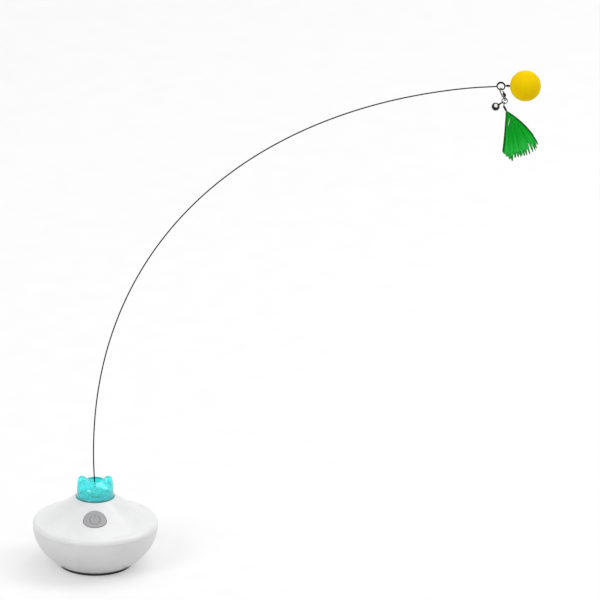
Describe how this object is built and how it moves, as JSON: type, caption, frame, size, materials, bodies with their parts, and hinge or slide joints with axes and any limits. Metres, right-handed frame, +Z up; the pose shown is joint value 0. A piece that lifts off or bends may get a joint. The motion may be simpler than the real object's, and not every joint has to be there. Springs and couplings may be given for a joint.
{
  "type": "interactive feather cat toy",
  "caption": "Round motor base with an eared translucent cap and a power button, turning a long sprung wire wand that carries a ball, a clasp, a bell and a green feather.",
  "frame": {"origin": "centre of the rubber foot's underside, on the spindle's axis", "axes": "+X is the way the wand arcs over, +Y is the back with the charging socket, +Z is up; the power button faces -Y"},
  "size_m": [0.4037, 0.1, 0.4176],
  "materials": {
    "white_shell": "smooth moulded white",
    "shade_shell": "smooth moulded white",
    "inner_plastic": "plain moulded",
    "teal_cap": "translucent tinted gloss",
    "grey_button": "satin moulded, darker printed symbol",
    "dark_rubber": "matt",
    "clear_rubber": "matt",
    "steel": "bright drawn",
    "spring_wire": "dark drawn spring wire",
    "bright_metal": "bright plated",
    "dark_metal": "dark polished plating",
    "cast_iron": "cast, lightly machined",
    "brass": "turned",
    "gear_plastic": "acetal",
    "green_board": "solder mask",
    "white_board": "white solder mask",
    "black_plastic": "satin moulded",
    "lamp_plastic": "clear dome",
    "battery_wrap": "wrapped pouch",
    "yellow_ball": "closed foam, matt",
    "green_feather": "dyed feather"
  },
  "bodies": {
    "base": {"ballast_screw": "steel", "ballast_weight": "cast_iron", "battery_pack": "battery_wrap", "battery_tray": "inner_plastic", "board_screw_1": "steel", "board_screw_2": "steel", "chassis_plate": "inner_plastic", "ear_cap": "teal_cap", "foot_pad": "dark_rubber", "lamp_1": "lamp_plastic", "lamp_2": "lamp_plastic", "lamp_3": "lamp_plastic", "lamp_4": "lamp_plastic", "lamp_board": "white_board", "lower_bush": "brass", "lower_shell": "shade_shell", "main_board": "green_board", "motor_can": "bright_metal", "motor_gearbox": "brass", "motor_screw_1": "steel", "motor_screw_2": "steel", "plate_screw_1": "steel", "plate_screw_2": "steel", "plate_screw_3": "steel", "shell_screw_1": "steel", "shell_screw_2": "steel", "shell_screw_3": "steel", "shell_screw_4": "steel", "switch_board": "green_board", "tact_switch": "bright_metal", "upper_bush": "brass", "upper_shell": "white_shell", "usb_socket": "bright_metal"},
    "button": {"power_button": "grey_button", "switch_plunger": "black_plastic"},
    "rotor": {"spindle_shaft": "steel", "spindle_gear": "gear_plastic", "spindle_clip": "steel", "wand_socket": "gear_plastic"},
    "pinion": {"drive_pinion": "gear_plastic", "motor_shaft": "steel"},
    "wand": {"wand_wire": "spring_wire", "wand_sleeve": "clear_rubber", "foam_ball": "yellow_ball", "ball_ferrule": "dark_metal"},
    "clasp": {"clasp_body": "dark_metal", "clasp_pin": "dark_metal"},
    "gate": {"clasp_gate": "dark_metal"},
    "ring": {"jump_ring": "dark_metal"},
    "bell": {"bell_shell": "dark_metal"},
    "pellet": {"bell_pellet": "steel"},
    "feather": {"feather_crimp": "dark_metal", "feather_tuft": "green_feather"}
  },
  "joints": [
    {"name": "button_press", "type": "slide", "parent": "base", "child": "button", "axis": [0, 0.6137, -0.7896], "range_m": [0, 0.0006], "stiffness_N_per_m": 300, "springref_m": -0.001},
    {"name": "wand_spin", "type": "hinge", "parent": "base", "child": "rotor", "pos_m": [0, 0, 0.0386], "axis": [0, 0, 1], "continuous": true},
    {"name": "pinion_spin", "type": "hinge", "parent": "base", "child": "pinion", "pos_m": [-0.01715, 0, 0.0386], "axis": [0, 0, 1], "continuous": true},
    {"name": "wand_flex", "type": "hinge", "parent": "rotor", "child": "wand", "pos_m": [0, 0, 0.0624], "axis": [0, 1, 0], "range_deg": [-10, 12], "stiffness_Nm_per_rad": 0.06, "springref_deg": -14.9},
    {"name": "clasp_swing", "type": "hinge", "parent": "wand", "child": "clasp", "pos_m": [0.3221, 0, 0.40245], "axis": [1, 0, 0], "range_deg": [-60, 60]},
    {"name": "clasp_gate", "type": "hinge", "parent": "clasp", "child": "gate", "pos_m": [0.32456, 0.00145, 0.39839], "axis": [0.8343, -0.4226, 0.3541], "range_deg": [0, 25], "stiffness_Nm_per_rad": 0.00005, "springref_deg": -17.19},
    {"name": "ring_swing", "type": "hinge", "parent": "clasp", "child": "ring", "pos_m": [0.32578, 0, 0.39377], "axis": [0, 1, 0], "range_deg": [-45, 32]},
    {"name": "bell_swing", "type": "hinge", "parent": "ring", "child": "bell", "pos_m": [0.32325, 0, 0.39184], "axis": [0.5592, 0, -0.829], "range_deg": [-50, 50]},
    {"name": "pellet_slide", "type": "slide", "parent": "bell", "child": "pellet", "axis": [0.829, 0, 0.5592], "range_m": [0, 0.002]},
    {"name": "feather_swing", "type": "hinge", "parent": "ring", "child": "feather", "pos_m": [0.32469, 0, 0.3909], "axis": [0.9848, 0, -0.1736], "range_deg": [-50, 50]}
  ],
  "couplings": [
    {"joint": "pinion_spin", "follows": "wand_spin", "ratio": -2.5}
  ]
}
